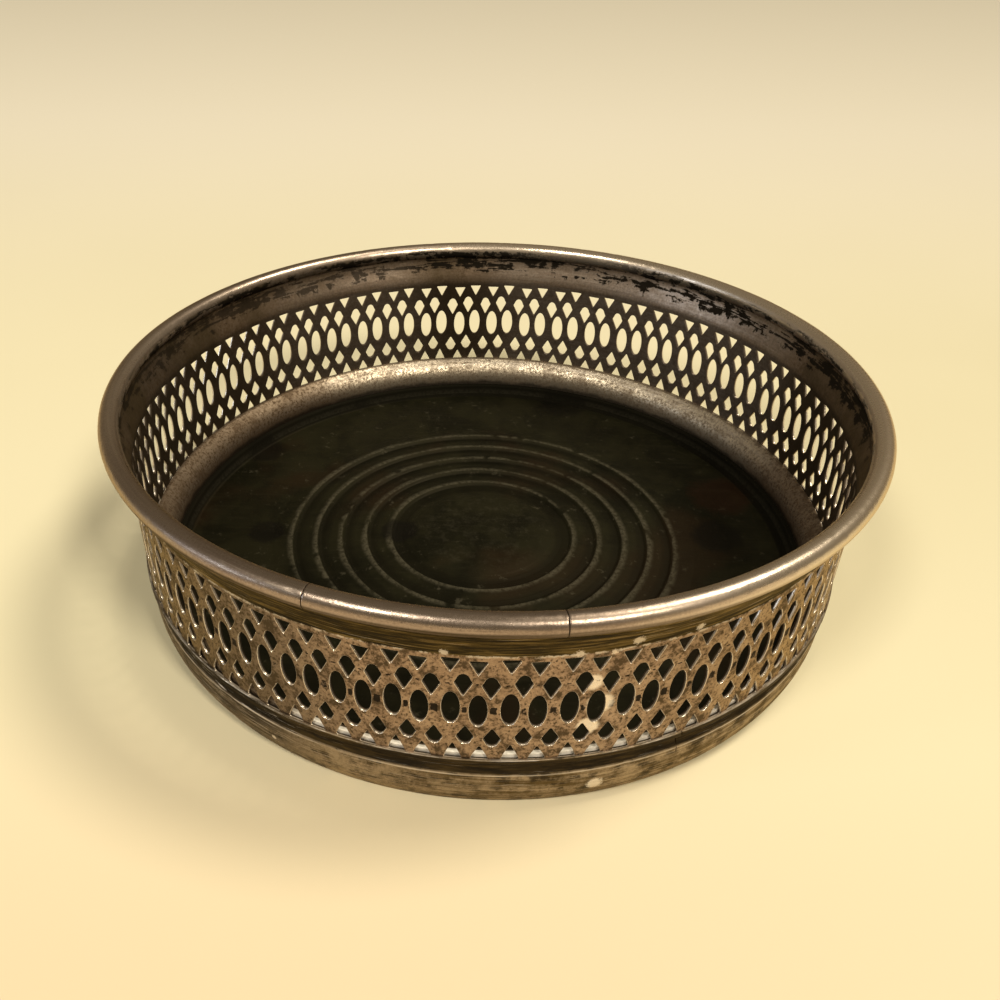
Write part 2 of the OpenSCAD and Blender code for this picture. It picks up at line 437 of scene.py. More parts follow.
def build_gallery(material):
    """Fifty copies of the cell, wrapped round the wall and joined edge to edge."""
    cell = GalleryCell()
    table, faces, back = cell_model(cell)

    # The right edge of a cell is the left edge of the next one.
    shared = {}
    for right, left in zip(cell.right, cell.left):
        shared[right] = left
        shared[back[right]] = back[left]
    every = range(len(table["u"]))
    kept = [i for i in every if i not in shared]
    slot_of = {i: k for k, i in enumerate(kept)}
    u, v, depth, out, along, up, edge, nick = (table[key][kept] for key in table)

    rng = random.Random(11)
    shift = np.array([(rng.uniform(-SHIFT_ALONG, SHIFT_ALONG), rng.uniform(-SHIFT_UP, SHIFT_UP))
                      for _ in range(PAIRS)])
    strength = 0.35 + 0.65 * np.array([rng.uniform(0.0, 1.0) for _ in range(PAIRS)])

    # A pair's shift fades to its neighbour's at their common side, and to nothing at the foot
    # and the neck.
    from_left = u - cell.flat[cell.left[0]][0]
    own = np.clip(np.minimum(from_left, PITCH - from_left) / FADE_ALONG, 0, 1)[:, None]
    side = np.where(from_left < PITCH / 2, -1, 1)
    low, high = (v - SHIFT_FROM_Z) / FADE_LOW, (NECK_Z - v) / FADE_HIGH
    band = (np.clip(low, 0, 1) * np.clip(high, 0, 1))[:, None]
    verts, normals = [], []
    for k in range(PAIRS):
        near = shift[(k + side) % PAIRS]
        moves = (own * shift[k] + (1 - own) * (shift[k] + near) / 2) * band
        angle = math.radians(FIRST_COLUMN) + (u + moves[:, 0] + k * PITCH) / WALL_R
        z = v + moves[:, 1]
        radius, slope = neck_radius_and_slope(z)
        radius = radius - depth - nick * NICK_DEPTH * strength[k]
        tilt = np.hypot(1, slope)
        c, s = np.cos(angle), np.sin(angle)
        verts.append(np.stack([radius * c, radius * s, z], 1))
        normals.append(np.stack([out / tilt * c - along * s, out / tilt * s + along * c,
                                 up - slope * out / tilt], 1))
    verts, normals = np.concatenate(verts), np.concatenate(normals)
    normals /= np.linalg.norm(normals, axis=1)[:, None]

    # Each vertex of a cell: its slot among the kept ones, and how many cells further on.
    lookup = [(slot_of[i], 0) if i in slot_of else (slot_of[shared[i]], 1) for i in every]
    all_faces = [tuple(lookup[i][0] + (k + lookup[i][1]) % PAIRS * len(kept) for i in face)
                 for k in range(PAIRS) for face in faces]
    wave = [noise.noise(Vector(p) * WAVE_SCALE) * WALL_WAVE for p in verts]
    scale = 1 - (np.abs(wave) + KEEP_INSIDE) / np.hypot(verts[:, 0], verts[:, 1])
    verts[:, :2] *= scale[:, None]
    piece = new_piece("gallery", verts, all_faces, material)
    piece.data.normals_split_custom_set_from_vertices([tuple(n) for n in normals])
    add_attribute(piece, "hole_edge", np.tile(edge, PAIRS))
    add_attribute(piece, "nick", np.outer(strength, nick).ravel())
    add_attribute(piece, "depth", np.tile(np.clip(depth / SHEET_T, 0, 1), PAIRS))
    install(piece, "gallery_band")


# ---- rim bead

BEAD_WALL = 0.6
SLIT_FROM, SLIT_TO = -0.2, -1.0
BEAD_JOINT_GAP = 0.12
SHORT_BEAD_ANGLE = 28.9
SHORT_BEAD_MIDDLE = -95.2
END_ROUND = 0.08
END_STEPS = (0, 0.03, 0.08, 0.3)
BEAD_STEP = 0.7
BEAD_DENT, BEAD_NICK = 0.05, 0.28


def bead_section():
    """The rolled tube's section about its centre: (offset out, offset up, 1 if outside)."""
    outer_r = BEAD_D / 2
    inner_r = outer_r - BEAD_WALL

    def bottom_angle(radius, offset):
        return -90 + math.degrees(math.asin(offset / radius))

    outer = arc_points(outer_r, outer_r, bottom_angle(outer_r, SLIT_FROM),
                       360 + bottom_angle(outer_r, SLIT_TO), 48)
    inner = arc_points(inner_r, inner_r, 360 + bottom_angle(inner_r, SLIT_TO),
                       bottom_angle(inner_r, SLIT_FROM), 16)
    return [(x, y, 1) for x, y in outer] + [(x, y, 0) for x, y in inner]


def build_bead(name, start, end, material, node):
    """A length of tube from bearing start to end, its cut ends slightly rounded."""
    section = bead_section()
    size = len(section)
    length = math.radians(end - start) * BEAD_R
    first, middle = END_STEPS[-1], max(8, int(length / BEAD_STEP))
    along = list(END_STEPS) + [lerp(first, length - first, i / middle) for i in range(1, middle)]
    along += [length - a for a in reversed(END_STEPS)]
    verts = []
    for a in along:
        from_end = min(a, length - a)
        from_round = 1 - min(from_end / END_ROUND, 1)
        round_off = END_ROUND * (1 - math.sqrt(1 - from_round ** 2))
        bearing = start + math.degrees(a / BEAD_R)
        for x, y, outside in section:
            p = Vector(polar(BEAD_R + x, bearing, BEAD_Z + y))
            dent = 0.5 + 0.5 * noise.noise(p * 0.11)
            nick = max(0.0, noise.noise(p * 0.9 + Vector((40, 0, 0))) - 0.42)
            loss = outside * (round_off + BEAD_DENT * dent + BEAD_NICK * nick)
            k = 1 - loss / (BEAD_D / 2)
            verts.append(polar(BEAD_R + x * k, bearing, BEAD_Z + y * k))
    faces = []
    for j in range(len(along) - 1):
        for i in range(size):
            n = (i + 1) % size
            a, b = j * size, (j + 1) * size
            faces.append((a + i, b + i, b + n, a + n))
    faces.append(tuple(range(size)))
    last = (len(along) - 1) * size
    faces.append(tuple(last + i for i in reversed(range(size))))
    piece = new_piece(name, verts, faces, material, 40)
    install(piece, node)


def build_beads(material):
    half_gap = math.degrees(BEAD_JOINT_GAP / 2 / BEAD_R)
    low = SHORT_BEAD_MIDDLE - SHORT_BEAD_ANGLE / 2
    high = SHORT_BEAD_MIDDLE + SHORT_BEAD_ANGLE / 2
    build_bead("bead_short", low + half_gap, high - half_gap, material, "rim_bead_short")
    build_bead("bead_long", high + half_gap, low + 360 - half_gap, material, "rim_bead_long")


# ---- foot moulding

LEDGE_Z = 8.5
LEDGE_R = WALL_R - 0.15
FOOT_R = WALL_R - 1.9
FLANGE_R = WALL_R - 5.6
FOOT_T = 0.8
COVE_DEPTH, BAND_BULGE = 0.9, 0.75
FOOT_DENT, FOOT_NICK = 0.05, 0.16
SEAM_ANGLE = -62.4
SEAM_HALF_W = 0.1
SEAM_DEPTH = 0.3


def foot_profile():
    lip_r = WALL_R + LIP_T
    points = [(WALL_R, FOOT_H), (lip_r - 0.12, FOOT_H), (lip_r, FOOT_H - 0.12)]
    points += bulged((lip_r, SEAT_Z + 0.25), (LEDGE_R - 0.05, LEDGE_Z + 0.16),
                     -COVE_DEPTH, 18)
    points += [(LEDGE_R, LEDGE_Z + 0.06)]
    points += bulged((LEDGE_R, LEDGE_Z - 0.08), (FOOT_R, 0.35), BAND_BULGE, 28)
    points += [(FOOT_R - 0.2, 0.12), (FOOT_R - 0.6, 0), (FLANGE_R, 0), (FLANGE_R, FOOT_T)]
    points += bulged((FOOT_R - 0.48, FOOT_T), (LEDGE_R - 1, 7.3), -0.9 * BAND_BULGE, 10)
    points += [(70.2, 9.8), (70.3, 10.3), (WALL_R - SHEET_T, SEAT_Z - FOOT_T)]
    points += [(WALL_R - SHEET_T, SEAT_Z), (WALL_R, SEAT_Z)]
    return points


def build_foot(material):
    """The pressed moulding, with the groove in its cove where its ends were butted."""
    steps = [SEAM_ANGLE + math.degrees(SEAM_HALF_W * k / WALL_R)
             for k in (-1.6, -1, -0.5, 0, 0.5, 1, 1.6)]
    bearings = steps + [lerp(steps[-1], steps[0] + 360, i / 720) for i in range(1, 720)]

    def shape(r, bearing, z):
        if r < FOOT_R - 0.8:
            return polar(r, bearing, z)
        p = Vector(polar(r, bearing, z))
        loss = FOOT_DENT * (0.5 + 0.5 * noise.noise(p * 0.13))
        loss += FOOT_NICK * max(0.0, noise.noise(p * 0.55 + Vector((9, 0, 0))) - 0.35)
        off = abs(math.radians(bearing - SEAM_ANGLE)) * WALL_R
        if z > LEDGE_Z - 1.2:
            loss += SEAM_DEPTH * smooth(1 - off / (SEAM_HALF_W * 1.2))
        return polar(r - loss, bearing, z)

    piece = lathe("foot", foot_profile(), bearings, material, shape, 32)
    install(piece, "foot_ring")


# ---- inner retaining ring

RING_TOE_R = 67.8
RING_T = 0.7
RING_BULGE = 1.1


def ring_profile():
    top, toe = (WALL_R - SHEET_T - 0.02, ring_high[2]), (RING_TOE_R, ring_low[2])
    crest = (WALL_R - SHEET_T - RING_T, top[1])
    points = [top] + bulged(crest, toe, -RING_BULGE, 26)
    points += bulged((toe[0] + RING_T, toe[1]), (top[0], top[1] - 0.9), 0.8 * RING_BULGE, 12)
    return points


def build_ring(material):
    def shape(r, bearing, z):
        p = Vector(polar(r, bearing, z))
        slump = 0.10 * noise.noise(p * 0.035) + 0.035 * noise.noise(p * 0.25)
        if z > ring_high[2] - 1.0:
            slump = 0
        return polar(r + slump, bearing, z)

    piece = lathe("retaining_ring", ring_profile(), even_bearings(720), material, shape, 50)
    install(piece, "inner_ring")


# ---- turned base

FLOOR_Z = 4.2
RIDGE_R, RIDGE_PITCH, RIDGE_COUNT, RIDGE_H, RIDGE_BACK = 20.4, 5.5, 5, 0.7, 4.4
CENTRE_R, CENTRE_H, CENTRE_SLOPE = 13.6, 1.1, 4.2
TURNING_OFFSET = -0.6
RECESS_R, RECESS_Z = 66.2, 1.25
MARGIN_R, MARGIN_STEP = 67.0, 1.3
FINE_STEP, EASE, EASE_STEPS = 0.05, 0.16, 12


def base_heights():
    """Radii and heights of the turned face, its corners eased as a worn turning's are."""
    top = base_high[2]
    knots = [(0, FLOOR_Z + CENTRE_H), (CENTRE_R, FLOOR_Z + CENTRE_H * 0.85),
             (CENTRE_R + CENTRE_SLOPE, FLOOR_Z)]
    for k in range(RIDGE_COUNT):
        r = RIDGE_R + k * RIDGE_PITCH
        knots += [(r - 0.7, FLOOR_Z), (r - 0.2, FLOOR_Z + RIDGE_H), (r + 0.2, FLOOR_Z + RIDGE_H)]
        knots += [(r + RIDGE_BACK, FLOOR_Z)]
    knots += [(MARGIN_R - MARGIN_STEP, FLOOR_Z),
              (MARGIN_R - 0.52, FLOOR_Z + 0.4 * (top - FLOOR_Z)), (MARGIN_R - 0.25, top),
              (base_high[1], top)]
    fine = np.arange(0, base_high[1], FINE_STEP)
    height = np.interp(fine, *zip(*knots))
    kernel = np.exp(-0.5 * (np.arange(-EASE_STEPS, EASE_STEPS + 1) * FINE_STEP / EASE) ** 2)
    eased = np.convolve(np.pad(height, EASE_STEPS, "edge"), kernel / kernel.sum(), "valid")
    coarse = np.concatenate([np.arange(0, 15, 0.8), np.arange(15, 47, 0.2),
                             np.arange(47, 64, 0.7), np.arange(64, base_high[1] - 0.1, 0.18)])
    return list(zip(coarse.tolist(), np.interp(coarse, fine, eased).tolist()))


def build_base(material):
    edge = base_high[1]
    profile = base_heights() + [(edge - 0.1, base_high[2]), (edge, base_high[2] - 0.1)]
    profile += [(edge, base_low[2]), (RECESS_R, base_low[2]), (RECESS_R, RECESS_Z), (0, RECESS_Z)]

    def shape(r, bearing, z):
        x, y, _ = polar(r, bearing, z)
        if z <= RECESS_Z:
            return x, y, z
        p = Vector((x, y, z))
        x += TURNING_OFFSET * smooth((57 - r) / 8)
        wear = 0.5 + 0.5 * noise.noise(p * 0.12)
        chip = max(0.0, noise.noise(p * 0.5 + Vector((0, 30, 0))) - 0.3)
        if FLOOR_Z + 0.2 < z < FLOOR_Z + RIDGE_H + 0.1 and r > CENTRE_R + 2:
            z -= (z - FLOOR_Z) * (0.22 * wear + 0.5 * chip)
        if r < CENTRE_R:
            z -= 0.1 * chip + 0.05 * max(0.0, noise.noise(p * 1.1))
        return x, y, z - 0.06 * (0.5 + 0.5 * noise.noise(p * 0.04))

    piece = lathe("turned_base", profile, even_bearings(600), material, shape, 60)
    install(piece, "base_disc")


def build_baize(material):
    pad_r = pad_high[1]
    rows = [(0, pad_high[2]), (pad_r - 0.3, pad_high[2]), (pad_r, pad_high[2] - 0.3),
            (pad_r, pad_low[2] + 0.35), (pad_r - 0.3, pad_low[2] + 0.1)]
    rows += [(r, pad_low[2]) for r in np.linspace(pad_r - 1.2, 0, 60).tolist()]

    def shape(r, bearing, z):
        p = Vector(polar(r, bearing, z))
        if z < pad_low[2] + 0.5:
            p.z += 0.09 * (0.5 + 0.5 * noise.noise(p * 0.3)) + 0.05 * abs(noise.noise(p * 1.7))
        return tuple(p)

    piece = lathe("baize", rows, even_bearings(240), material, shape, 60)
    install(piece, "baize_pad")


# ---- materials

class Paint:
    """One procedural material. Its vectors are the object's place in millimetres."""

    def __init__(self, name):
        self.material = bpy.data.materials.new(name)
        self.material.use_nodes = True
        self.tree = self.material.node_tree
        self.tree.nodes.clear()
        self.shader = self.tree.nodes.new("ShaderNodeBsdfPrincipled")
        self.node("OutputMaterial", {"Surface": self.shader.outputs[0]})
        place = {0: self.node("TexCoord", {})["Object"], "Scale": 1 / MM}
        self.place = self.node("VectorMath", place, operation="SCALE")[0]
        self.x, self.y, self.z = self.node("SeparateXYZ", {0: self.place})
        self.r = self.length(self.x, self.y)

    def put(self, socket, value):
        if isinstance(value, bpy.types.NodeSocket):
            self.tree.links.new(value, socket)
        elif isinstance(value, tuple) and len(value) == 3 and socket.type == "RGBA":
            socket.default_value = (*value, 1)
        else:
            socket.default_value = value

    def node(self, kind, inputs, **settings):
        """The outputs of a new node with these settings, and inputs given by number or name."""
        node = self.tree.nodes.new("ShaderNode" + kind)
        for name, value in settings.items():
            setattr(node, name, value)
        for key, value in inputs.items():
            self.put(node.inputs[key], value)
        return node.outputs

    def math(self, operation, a, b=0.0):
        return self.node("Math", {0: a, 1: b}, operation=operation)[0]

    def length(self, x, y):
        return self.math("SQRT", self.math("ADD", self.times(x, x), self.times(y, y)))

    def vector(self, x, y, z):
        return self.node("CombineXYZ", {0: x, 1: y, 2: z})[0]

    def around(self, turns, across, offset=0.0):
        """A vector that changes turns per radian round the axis and across per mm over it."""
        height = self.math("ADD", self.times(self.z, across), self.times(self.r, across))
        return self.vector(self.times(self.math("DIVIDE", self.x, self.r), turns),
                           self.times(self.math("DIVIDE", self.y, self.r), turns),
                           self.math("ADD", height, offset))

    def noise(self, vector, scale, detail, roughness, distortion=0.0):
        inputs = {"Vector": vector, "Scale": scale, "Detail": detail, "Roughness": roughness,
                  "Distortion": distortion}
        return self.node("TexNoise", inputs)["Fac"]

    def cloud(self, scale, *looks):
        return self.noise(self.place, scale, *looks)

    def streaks(self, way, *looks):
        return self.noise(self.around(*way), 1, *looks)

    def step(self, value, low, high, out_low=0.0, out_high=1.0):
        inputs = {"Value": value, "From Min": low, "From Max": high,
                  "To Min": out_low, "To Max": out_high}
        return self.node("MapRange", inputs, interpolation_type="SMOOTHSTEP")[0]

    def times(self, *factors):
        result = factors[0]
        for factor in factors[1:]:
            result = self.math("MULTIPLY", result, factor)
        return result

    def most(self, *values):
        result = values[0]
        for value in values[1:]:
            result = self.math("MAXIMUM", result, value)
        return result

    def rest(self, value):
        return self.math("SUBTRACT", 1.0, value)

    def less(self, value, factor):
        """value where factor is 0, and nothing where factor is 1."""
        return self.times(value, self.rest(factor))

    def wavy(self, value, noise, amount):
        """value moved up where the noise is high and down where it is low, by amount in all."""
        return self.math("ADD", value, self.times(self.math("SUBTRACT", noise, 0.5), amount))

    def band(self, value, low, high, soft):
        rise = self.step(value, low - soft, low + soft)
        return self.less(rise, self.step(value, high - soft, high + soft))

    def mix(self, a, b, factor):
        return self.node("Mix", {"Factor": factor, 6: a, 7: b}, data_type="RGBA")[2]

    def blend(self, a, b, factor):
        """Number a where factor is 0, b where it is 1."""
        return self.node("Mix", {"Factor": factor, 2: a, 3: b})[0]

    def spot(self, centre, size, ragged=0.6, grain=0.35):
        """A ragged patch round a point in mm: 1 inside and 0 beyond about size."""
        away = self.node("VectorMath", {0: self.place, 1: centre}, operation="DISTANCE")["Value"]
        far = self.math("DIVIDE", away, size)
        rough = self.times(self.noise(self.place, grain * 6 / size, 5, 0.65), ragged * 2)
        far = self.math("ADD", far, self.math("SUBTRACT", rough, ragged))
        return self.step(far, 1.0, 0.6)

    def spots(self, places, *looks):
        """Patches at places in mm, each given as (centre, size)."""
        return self.most(*[self.spot(centre, size, *looks) for centre, size in places])

    def attribute(self, name):
        return self.node("Attribute", {}, attribute_name=name)["Fac"]

    def sector(self, bearing, half_width, soft):
        """1 near a bearing, falling to 0 soft degrees beyond half_width on either side."""
        a = math.radians(bearing)
        along = self.math("ADD", self.times(self.x, math.cos(a)), self.times(self.y, math.sin(a)))
        cosine = self.math("DIVIDE", along, self.r)
        edge = min(half_width + soft, 179)
        return self.step(cosine, math.cos(math.radians(edge)), math.cos(math.radians(half_width)))

    def bump(self, height, depth_mm, strength, under=None):
        inputs = {"Strength": strength, "Distance": depth_mm * MM, "Height": height}
        if under is not None:
            inputs["Normal"] = under
        return self.node("Bump", inputs)[0]

    def finish(self, colour, metallic, roughness, normal, **fixed):
        for name, value in (("Base Color", colour), ("Metallic", metallic),
                            ("Roughness", roughness), ("Normal", normal)):
            self.put(self.shader.inputs[name], value)
        for name, value in fixed.items():
            self.shader.inputs[name.replace("_", " ")].default_value = value
        return self.material


# Plate, bright and dull: the whole of a piece, then the pairs that replace it in places. The lit
# pairs are painted light, the bead's dim pair is painted shade and the gallery's inside pair is a
# painted reflection; the left pairs make the left side darker.
GALLERY_PLATE = (0.38, 0.285, 0.215), (0.205, 0.145, 0.104)
GALLERY_LEFT = (0.23, 0.185, 0.155), (0.12, 0.093, 0.074)
GALLERY_INSIDE_REFLECTION = (0.60, 0.52, 0.46), (0.40, 0.34, 0.29)
BEAD_PLATE = (0.58, 0.50, 0.44), (0.34, 0.28, 0.24)
BEAD_DIM = (0.33, 0.265, 0.23), (0.19, 0.145, 0.12)
BEAD_LIT = (0.84, 0.74, 0.64), (0.55, 0.46, 0.39)
FOOT_PLATE = (0.66, 0.54, 0.40), (0.36, 0.28, 0.19)
FOOT_LEFT = (0.40, 0.33, 0.26), (0.18, 0.14, 0.10)
RING_PLATE = (0.46, 0.38, 0.30), (0.26, 0.20, 0.145)
RING_LIT = (0.74, 0.66, 0.54), (0.44, 0.37, 0.29)
# Tarnish, which also paints shade on the ring, the bead and the gallery's inner bars; rubbed
# plate, whose colour also paints highlights; and soldering, painted near white as a pool of light
BROWN = (0.055, 0.040, 0.020)
NECK_OLIVE, NECK_STREAK = (0.030, 0.023, 0.009), (0.20, 0.14, 0.05)
FOOT_BROWN = (0.105, 0.070, 0.026)
RING_BROWN = (0.085, 0.056, 0.034)
BLACK = (0.010, 0.008, 0.006)
FRESH_AND_HIGHLIGHT = (0.84, 0.77, 0.69)
LIT_SOLDER_WHITE = (0.98, 0.95, 0.90)
# Marks seen in the photo: (bearing, z, size)
NECK_FLAKES = ((-91.5, 38.3, 0.34), (-94.1, 35.3, 0.85), (-78.3, 34.9, 1.0), (-74.0, 34.5, 0.7),
               (-71.3, 36.3, 1.1), (-63.0, 35.8, 0.9))
# Painted highlights on the front wall, where a lamp's reflection falls: (bearing, z, size)
GALLERY_PAINTED_HIGHLIGHTS = (-76.2, 28.8, 1.9), (-75.0, 24.0, 2.6), (-76.2, 19.4, 2.2)
FOOT_CHIP, FOOT_SMALL_CHIP = (-74.1, 4.9, 1.7), (-119, 4.8, 0.6)
# Dark blots on the wood: (x, y, size)
WOOD_BLOTS = ((-56.8, 32, 6), (-36.9, 58.9, 5), (20.3, 62, 8), (-48.9, -2.7, 5), (52.2, 2.5, 7),
              (-19, -0.5, 5))
WOOD_RED = (56, 19, 9)


def on_radius(radius, *marks):
    return [(polar(radius, bearing, z), size) for bearing, z, size in marks]


def shades(paint, plate, *changes):
    """The plate's bright and dull colours, changed to another pair where a factor is 1."""
    for other, factor in changes:
        plate = [paint.mix(a, b, factor) for a, b in zip(plate, other)]
    return plate


def plated(paint, plate, mottle, brown, black, rub_and_highlight, normal, rough,
           tarnish_and_shade=BROWN, fresh_and_highlight_colour=FRESH_AND_HIGHLIGHT, metal=1.0):
    """Silver plate: dull where mottle, tarnished brown and then black, bright where rubbed. The
    brown and the black also paint shade in the ring, the bead and the gallery's inner bars, and
    the bright colour also paints highlights and the ring's pool of light.
    """
    tint = paint.mix(*plate, mottle)
    tint = paint.mix(tint, tarnish_and_shade, brown)
    tint = paint.mix(tint, BLACK, black)
    tint = paint.mix(tint, fresh_and_highlight_colour, rub_and_highlight)
    dirt_and_shade = paint.most(brown, black)
    roughness = paint.blend(paint.blend(rough[0], rough[1], mottle), 0.62, dirt_and_shade)
    roughness = paint.blend(roughness, rough[0], rub_and_highlight)
    metallic = paint.times(metal, paint.less(paint.blend(1.0, 0.7, dirt_and_shade), paint.times(black, 0.3)))
    return paint.finish(tint, metallic, roughness, normal, Specular_IOR_Level=0.22,
                        Specular_Tint=(0.80, 0.66, 0.46, 1))


def gallery_paint():
    p = Paint("pierced_plate")
    depth = p.attribute("depth")
    edge = p.attribute("hole_edge")
    nick = p.attribute("nick")
    inner = p.step(depth, 0.4, 0.6)
    outer = p.rest(inner)
    speck = p.cloud(1.7, 6, 0.68)
    grit = p.cloud(4.5, 4, 0.7)
    patch = p.cloud(0.32, 6, 0.66)
    broad = p.cloud(0.05, 3, 0.5)
    long_streak = p.streaks((4.5, 0.55, 4), 6, 0.66, 0.3)
    scratch = p.streaks((6, 2.2, 3), 5, 0.72, 0.4)
    smear = p.streaks((7, 0.9, 6), 6, 0.7, 0.5)
    ragged_z = p.wavy(p.z, speck, 1.1)
    neck = p.step(ragged_z, 34.55, 34.95)
    mottle = p.step(p.blend(patch, speck, 0.5), 0.38, 0.60)

    grime = p.times(outer, p.step(speck, 0.53, 0.62), 0.8)
    corner = p.times(outer, p.step(p.blend(patch, speck, 0.3), 0.50, 0.60), 0.75)
    dots = p.times(outer, p.step(grit, 0.64, 0.72), 0.55)
    wall = p.times(p.band(depth, 0.24, 0.8, 0.08), 0.45)
    neck_brown = p.times(neck, outer)
    # Painted reflection: the inside lighter and greyer, in streaks, at the back right and faintly
    # at the back left, and less brown there
    grey_side = p.times(p.most(p.sector(56, 27, 14), p.times(p.sector(122, 10, 12), 0.75)),
                        p.step(patch, 0.30, 0.56, 0.30, 0.75))
    inside_brown = p.times(inner, p.less(p.step(broad, 0.36, 0.58, 0.45, 0.85), grey_side))
    inside_reflection = p.times(grey_side, inner,
                        p.step(p.blend(smear, scratch, 0.5), 0.42, 0.58, 0.45, 1.0))
    brown = p.most(grime, corner, dots, wall, neck_brown, inside_brown)

    neck_black = p.times(neck, outer, p.step(p.blend(smear, scratch, 0.4), 0.50, 0.38, 0.0, 0.95))
    stain = p.step(p.blend(long_streak, patch, 0.35), 0.485, 0.515)
    high = p.step(p.wavy(p.z, patch, 10.0), 37.9, 38.6)
    where = p.most(p.sector(68, 34, 22), p.sector(18, 24, 20), p.times(p.sector(150, 60, 30), 0.8))
    inner_black = p.times(inner, stain, high, where)
    # Painted shade: the inside of the pierced wall darkened part way to black, where it lies in
    # shadow
    bars_shade = p.times(inner, p.step(p.z, 35.4, 34.4), 0.5)
    nicks = p.times(p.step(p.wavy(nick, speck, 1.6), 0.34, 0.62), p.step(nick, 0.02, 0.10), 0.96)
    black = p.most(neck_black, inner_black, bars_shade, nicks)

    line = p.times(p.band(ragged_z, 34.62, 34.95, 0.12), outer,
                   p.step(p.cloud(0.5, 5, 0.7), 0.45, 0.58), 0.55)
    pale = p.times(p.step(p.blend(smear, scratch, 0.55), 0.62, 0.68), 0.4)
    hair = p.times(p.most(p.step(scratch, 0.58, 0.68, 0, 0.30), pale), neck, outer)
    flakes = p.times(outer, 0.6, p.spots(on_radius(WALL_R + 0.3, *NECK_FLAKES), 1.1, 0.5))
    # Bright hole outlines: wear on the edges, and painted highlight where light from above catches
    # the rounded edges
    outline = p.times(p.step(edge, 0.42, 0.90), outer, p.step(speck, 0.28, 0.42), 0.8)
    # Painted highlight: bright plate on the front wall where a lamp's reflection falls
    painted_highlight = p.times(p.spots(on_radius(WALL_R, *GALLERY_PAINTED_HIGHLIGHTS), 0.3), outer, 0.85)
    rub_and_highlight = p.most(line, hair, flakes, painted_highlight, p.less(outline, p.times(nick, 0.8)))

    grain = p.bump(p.blend(scratch, grit, 0.6), 0.05, 0.6)
    normal = p.bump(patch, 0.22, 0.5, grain)
    # The inside pair paints that reflection; the left pair makes the left side darker
    plate = shades(p, GALLERY_PLATE, (GALLERY_LEFT, p.sector(-155, 32, 22)),
                   (GALLERY_INSIDE_REFLECTION, inside_reflection))
    neck_tint = p.mix(NECK_OLIVE, NECK_STREAK, p.step(p.blend(smear, scratch, 0.5), 0.46, 0.62))
    return plated(p, plate, mottle, brown, black, rub_and_highlight, normal, (0.25, 0.42),
                  tarnish_and_shade=p.mix(BROWN, neck_tint, neck_brown))


def bead_paint():
    p = Paint("rim_plate")
    out = p.math("SUBTRACT", p.r, BEAD_R)
    up = p.math("SUBTRACT", p.z, BEAD_Z)
    speck = p.cloud(2.4, 6, 0.7)
    patch = p.cloud(0.4, 6, 0.62)
    rubbed = p.streaks((2.2, 1.1), 5, 0.6)
    stain = p.streaks((5.0, 0.5, 8), 6, 0.66, 0.3)
    scratch = p.streaks((3.5, 6.5, 5), 5, 0.7, 0.3)
    mottle = p.step(p.blend(rubbed, speck, 0.4), 0.38, 0.62)
    inward = p.step(p.math("ADD", p.times(out, -1.0), p.times(up, -0.5)), 0.7, 1.8)
    tarnish_and_shade = p.times(inward, p.step(p.blend(patch, stain, 0.5), 0.40, 0.56, 0.2, 0.85))
    outward = p.step(out, -0.2, 0.5)
    shade = p.times(outward, p.band(up, -1.45, -0.15, 0.35),
                    p.step(rubbed, 0.3, 0.6, 0.55, 0.9))
    front_low = p.times(p.sector(-105, 26, 18), p.band(up, -2.3, -0.35, 0.3),
                        p.step(rubbed, 0.3, 0.6, 0.5, 0.9))
    pits = p.times(p.step(speck, 0.62, 0.72), 0.55)
    lit_side = p.sector(20, 60, 45)
    dim = p.most(p.times(p.sector(-110, 28, 24), 0.7), p.times(p.sector(138, 20, 14), 0.4),
                 p.times(p.sector(88, 34, 22), 0.45))
    brown = p.less(p.most(tarnish_and_shade, shade, front_low, pits), p.times(lit_side, 0.6))
    mottle = p.less(mottle, p.times(lit_side, 0.6))
    where = p.most(p.sector(150, 62, 22), p.sector(5, 50, 24))
    low_side = p.step(p.wavy(up, patch, 5.0), 0.9, 0.1)
    black = p.times(inward, low_side, where, p.step(p.blend(stain, patch, 0.4), 0.49, 0.515), 0.97)
    rub_and_highlight = p.times(p.step(scratch, 0.58, 0.68), p.step(up, 0.2, 1.2), 0.25)
    grain = p.bump(p.blend(scratch, speck, 0.4), 0.035, 0.6)
    normal = p.bump(patch, 0.12, 0.5, grain)
    plate = shades(p, BEAD_PLATE, (BEAD_DIM, dim), (BEAD_LIT, lit_side))
    return plated(p, plate, mottle, brown, black, rub_and_highlight, normal, (0.25, 0.40))


